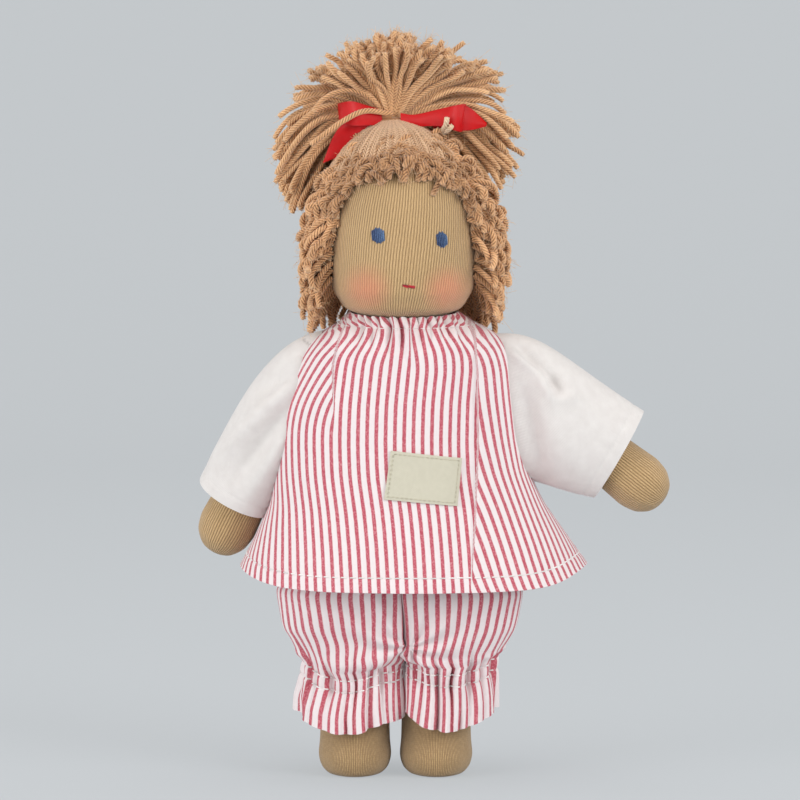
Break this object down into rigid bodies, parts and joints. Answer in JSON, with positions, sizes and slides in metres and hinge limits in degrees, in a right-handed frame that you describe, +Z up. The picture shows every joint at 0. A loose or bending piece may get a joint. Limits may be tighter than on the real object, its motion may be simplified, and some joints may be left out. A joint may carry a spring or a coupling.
{
  "type": "waldorf doll",
  "caption": "Knitted cloth doll with plied yarn hair in a ribboned topknot, a striped tunic with white sleeves, and striped bloomers.",
  "frame": {"origin": "bottom centre of the whole doll's box, on the ground plane under its soles", "axes": "+Z up along the doll's height, +X towards the doll's own left, the doll faces -Y"},
  "size_m": [0.19, 0.0929, 0.2974],
  "materials": {
    "skin_knit": "matte",
    "wool_stuffing": "matte",
    "thread": "matte",
    "eye_blue": "matte",
    "mouth_red": "matte",
    "hair_yarn": "matte",
    "ribbon_satin": "satin",
    "striped_cotton": "matte",
    "white_jersey": "matte",
    "label_canvas": "matte",
    "elastic_white": "matte"
  },
  "bodies": {
    "torso": {"torso_skin": "skin_knit", "torso_stuffing": "wool_stuffing", "tunic_front": "striped_cotton", "tunic_back": "striped_cotton", "neck_elastic": "elastic_white", "label": "label_canvas", "sleeve_left": "white_jersey", "sleeve_right": "white_jersey", "bloomers": "striped_cotton", "waist_elastic": "elastic_white"},
    "neck": {"neck_tie": "thread"},
    "head": {"head_skin": "skin_knit", "head_core": "wool_stuffing", "eye_left": "eye_blue", "eye_right": "eye_blue", "mouth_stitch": "mouth_red", "wig_cap": "hair_yarn", "hair_fringe": "hair_yarn", "hair_left": "hair_yarn", "hair_right": "hair_yarn", "hair_nape": "hair_yarn", "topknot": "hair_yarn", "topknot_tie": "thread", "ribbon_band": "ribbon_satin", "ribbon_knot": "ribbon_satin", "ribbon_loop_left": "ribbon_satin", "ribbon_loop_right": "ribbon_satin", "ribbon_tail_left": "ribbon_satin", "ribbon_tail_right": "ribbon_satin"},
    "shoulder_left": {"shoulder_seam_left": "thread"},
    "arm_left": {"arm_skin_left": "skin_knit", "arm_stuffing_left": "wool_stuffing"},
    "shoulder_right": {"shoulder_seam_right": "thread"},
    "arm_right": {"arm_skin_right": "skin_knit", "arm_stuffing_right": "wool_stuffing"},
    "leg_left": {"leg_skin_left": "skin_knit", "leg_stuffing_left": "wool_stuffing", "ankle_elastic_left": "elastic_white"},
    "leg_right": {"leg_skin_right": "skin_knit", "leg_stuffing_right": "wool_stuffing", "ankle_elastic_right": "elastic_white"}
  },
  "joints": [
    {"name": "neck_turn", "type": "hinge", "parent": "torso", "child": "neck", "pos_m": [-0.012, -0.0002, 0.183], "axis": [0, 0, 1], "range_deg": [-31, 19], "stiffness_Nm_per_rad": 0.06},
    {"name": "neck_nod", "type": "hinge", "parent": "neck", "child": "head", "pos_m": [-0.012, -0.0002, 0.183], "axis": [0.9945, 0.1045, 0], "range_deg": [-12, 14], "stiffness_Nm_per_rad": 0.3},
    {"name": "shoulder_swing_left", "type": "hinge", "parent": "torso", "child": "shoulder_left", "pos_m": [0.0276, -0.0002, 0.16], "axis": [-1, 0, 0], "range_deg": [-60, 100], "deforming": ["sleeve_left", "tunic_front", "tunic_back"]},
    {"name": "arm_lift_left", "type": "hinge", "parent": "shoulder_left", "child": "arm_left", "pos_m": [0.0276, -0.0002, 0.16], "axis": [0, -1, 0], "range_deg": [-40, 38], "deforming": ["sleeve_left", "tunic_front", "tunic_back"]},
    {"name": "shoulder_swing_right", "type": "hinge", "parent": "torso", "child": "shoulder_right", "pos_m": [-0.0516, -0.0002, 0.16], "axis": [-1, 0, 0], "range_deg": [-40, 110], "deforming": ["sleeve_right", "tunic_front", "tunic_back"]},
    {"name": "arm_lift_right", "type": "hinge", "parent": "shoulder_right", "child": "arm_right", "pos_m": [-0.0516, -0.0002, 0.16], "axis": [0, 0.9848, 0.1736], "range_deg": [-14, 63], "deforming": ["sleeve_right", "tunic_front", "tunic_back"]},
    {"name": "hip_left", "type": "hinge", "parent": "torso", "child": "leg_left", "pos_m": [0.0013, -0.0002, 0.058], "axis": [-1, 0, 0], "range_deg": [-30, 90], "deforming": ["bloomers", "tunic_front", "tunic_back"]},
    {"name": "hip_right", "type": "hinge", "parent": "torso", "child": "leg_right", "pos_m": [-0.0313, -0.0002, 0.058], "axis": [-1, 0, 0], "range_deg": [-30, 90], "deforming": ["bloomers", "tunic_front", "tunic_back"]}
  ]
}
